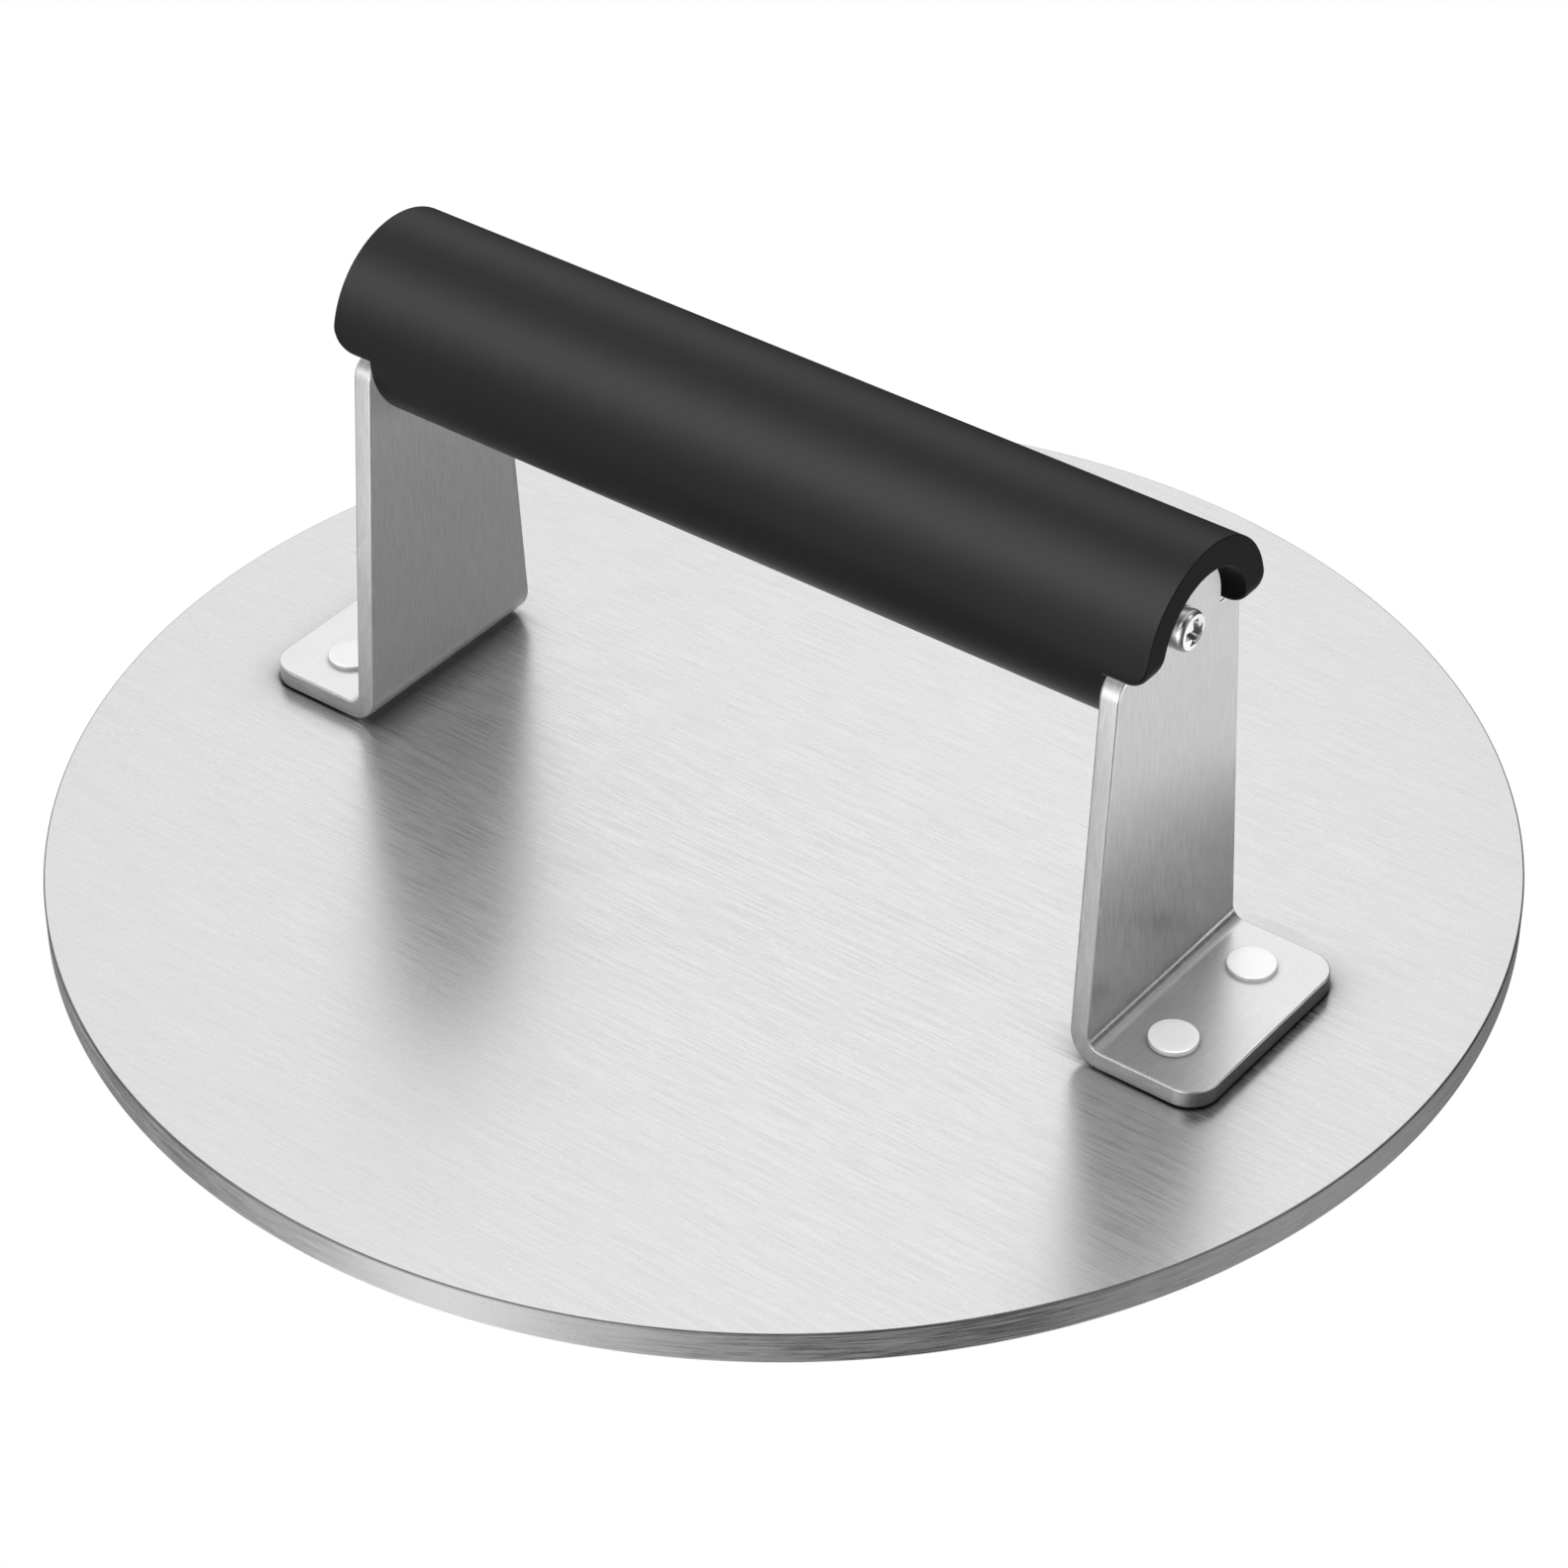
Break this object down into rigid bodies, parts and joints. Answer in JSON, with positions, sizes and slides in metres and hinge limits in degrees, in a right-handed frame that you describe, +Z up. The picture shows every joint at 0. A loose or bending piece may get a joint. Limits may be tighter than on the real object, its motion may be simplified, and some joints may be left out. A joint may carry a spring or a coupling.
{
  "type": "bacon press",
  "caption": "Round steel griddle press: a flat plate with a black bridge handle carried on two bent sheet brackets riveted to the plate.",
  "frame": {"origin": "centre of the plate's cooking face, on the surface that the press rests on", "axes": "+Z up out of the plate's top; X along the handle; Y across the handle"},
  "size_m": [0.21, 0.21, 0.0811],
  "materials": {
    "plate_steel": "satin, brushed along the handle's direction",
    "bracket_steel": "satin, brushed along the leg",
    "rivet_steel": "bright satin",
    "screw_bright": "bright plated",
    "core_steel": "drawn tube, dull",
    "grip_black": "satin moulded"
  },
  "bodies": {
    "root": {"press_plate": "plate_steel", "left_bracket": "bracket_steel", "right_bracket": "bracket_steel", "left_front_rivet": "rivet_steel", "left_rear_rivet": "rivet_steel", "right_front_rivet": "rivet_steel", "right_rear_rivet": "rivet_steel", "grip_sleeve": "grip_black", "core_tube": "core_steel", "left_end_plug": "core_steel", "right_end_plug": "core_steel", "left_screw": "screw_bright", "right_screw": "screw_bright"}
  },
  "joints": []
}
